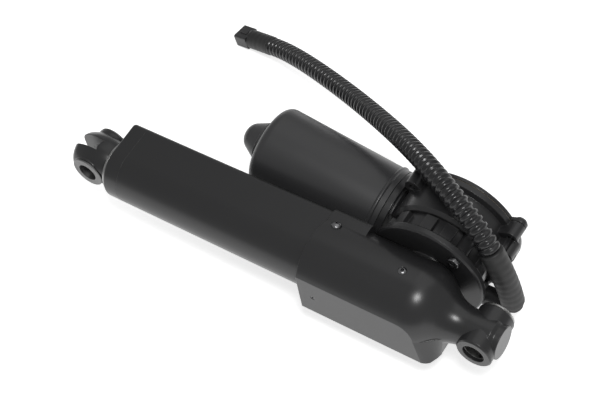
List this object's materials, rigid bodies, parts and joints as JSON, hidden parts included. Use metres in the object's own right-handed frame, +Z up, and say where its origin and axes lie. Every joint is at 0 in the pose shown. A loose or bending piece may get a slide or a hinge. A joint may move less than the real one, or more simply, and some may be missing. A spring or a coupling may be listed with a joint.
{
  "type": "linear actuator",
  "caption": "Electric linear actuator with a side-mounted worm gearmotor, lead-screw rod, clevis rod end, rear pivot boss and a corrugated cable conduit.",
  "frame": {"origin": "centre of the rear pivot bore", "axes": "+X from the rear pivot to the rod end, +Y along the pivot pins towards the housing's flat side, +Z up"},
  "size_m": [0.3778, 0.2314, 0.1168],
  "materials": {
    "black_casting": "satin black powder coat over cast aluminium",
    "black_tube": "satin black anodised extrusion",
    "black_steel": "satin black painted drawn steel",
    "plated_steel": "zinc plated",
    "bright_rod": "hard chrome, polished",
    "ground_steel": "ground",
    "dark_screw": "black oxide",
    "bronze": "sintered bronze",
    "copper": "copper",
    "nylon_gear": "moulded acetal",
    "seal_rubber": "matt",
    "gasket_fibre": "pressed fibre",
    "loom_plastic": "corrugated polyethylene",
    "black_plastic": "moulded nylon",
    "ferrite": "sintered ferrite",
    "lamination": "stacked electrical steel",
    "carbon": "pressed carbon"
  },
  "bodies": {
    "frame": {"rear_housing": "black_casting", "rear_pivot_bush": "plated_steel", "cover_tube": "black_tube", "front_cap": "black_casting", "guide_bush": "bronze", "rod_seal": "seal_rubber", "wiper_ring": "plated_steel", "grease_plug": "dark_screw", "roll_pin": "dark_screw", "button_screw": "dark_screw", "bearing_outer": "ground_steel", "bearing_clip": "ground_steel", "gearbox_adapter": "black_casting", "adapter_screws": "dark_screw", "shaft_bush": "bronze", "gearbox_case": "black_casting", "gearbox_gasket": "gasket_fibre", "gearbox_cover": "black_casting", "cover_screws": "dark_screw", "motor_flange": "black_casting", "motor_bearing": "ground_steel", "motor_can": "black_steel", "nose_cap": "black_steel", "nose_bush": "bronze", "worm_bush": "bronze", "magnet_near": "ferrite", "magnet_far": "ferrite", "brush_holder": "black_plastic", "brushes": "carbon", "cable_boot": "seal_rubber", "conduit": "loom_plastic", "connector_block": "black_plastic", "connector_pins": "plated_steel"},
    "screw": {"bearing_inner": "ground_steel", "bearing_balls": "ground_steel", "lead_screw": "ground_steel", "screw_gear": "ground_steel"},
    "output": {"output_shaft": "ground_steel", "output_pinion": "ground_steel", "worm_wheel": "nylon_gear", "shaft_clip": "ground_steel"},
    "armature": {"worm_shaft": "ground_steel", "armature_core": "lamination", "armature_coils": "copper", "commutator": "copper"},
    "rod": {"extension_tube": "bright_rod", "drive_nut": "bronze", "rod_clevis": "black_casting", "rod_end_bushes": "plated_steel", "clevis_pin": "ground_steel"}
  },
  "joints": [
    {"name": "motor_spin", "type": "hinge", "parent": "frame", "child": "armature", "pos_m": [0.06653, -0.069, -0.02398], "axis": [-0.9826, 0, -0.1857], "range_deg": [0, 432000]},
    {"name": "output_spin", "type": "hinge", "parent": "frame", "child": "output", "pos_m": [0.062, -0.069, 0], "axis": [0, -1, 0], "range_deg": [0, 10800]},
    {"name": "screw_spin", "type": "hinge", "parent": "frame", "child": "screw", "pos_m": [0.092, 0, 0], "axis": [-1, 0, 0], "range_deg": [0, 10800]},
    {"name": "rod_slide", "type": "slide", "parent": "frame", "child": "rod", "axis": [1, 0, 0], "range_m": [0, 0.15]}
  ],
  "couplings": [
    {"joint": "output_spin", "follows": "motor_spin", "ratio": 0.025},
    {"joint": "screw_spin", "follows": "motor_spin", "ratio": 0.025},
    {"joint": "rod_slide", "follows": "motor_spin", "m_per_rad": 0.000019894}
  ]
}
